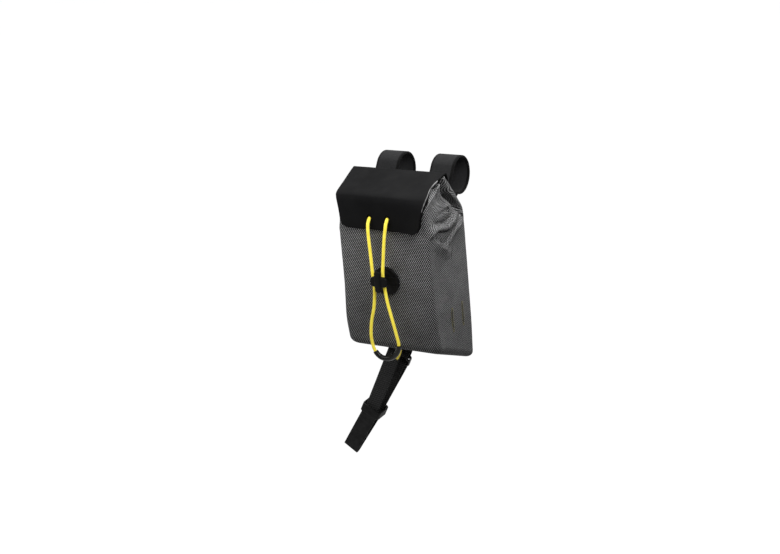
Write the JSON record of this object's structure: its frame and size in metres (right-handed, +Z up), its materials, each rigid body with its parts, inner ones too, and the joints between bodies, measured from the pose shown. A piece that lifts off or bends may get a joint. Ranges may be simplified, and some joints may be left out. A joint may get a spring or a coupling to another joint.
{
  "type": "stem bag",
  "caption": "Soft upright pouch that hangs on a handlebar, with a rubbery fold-over flap held down by an elastic cord on a hook and a buckled webbing strap below.",
  "frame": {"origin": "on the axis of the handlebar that the two bar straps go round, above the middle of the bag", "axes": "+X along the handlebar, to the right seen from the rider; -Y toward the rider, where the bag's front is; +Z up along the bag"},
  "size_m": [0.1395, 0.1256, 0.3106],
  "materials": {
    "pouch_cloth": "matt woven",
    "flap_rubber": "matt rubberised",
    "elastic_cord": "braided",
    "sleeve_rubber": "satin",
    "hook_plastic": "satin",
    "strap_cloth": "matt napped",
    "webbing": "woven webbing",
    "tab_rubber": "smooth matt",
    "buckle_plastic": "semi gloss",
    "thread": "sewing thread"
  },
  "bodies": {
    "root": {"bag_body": "pouch_cloth", "lid_flap": "flap_rubber", "shock_cord": "elastic_cord", "cord_sleeve": "sleeve_rubber", "cord_tail": "elastic_cord", "cord_hook": "hook_plastic", "bar_strap_left": "strap_cloth", "bar_strap_right": "strap_cloth", "fork_webbing": "webbing", "strap_keeper": "tab_rubber", "crown_tab": "tab_rubber", "strap_buckle": "buckle_plastic", "buckle_tab": "webbing"}
  },
  "joints": []
}
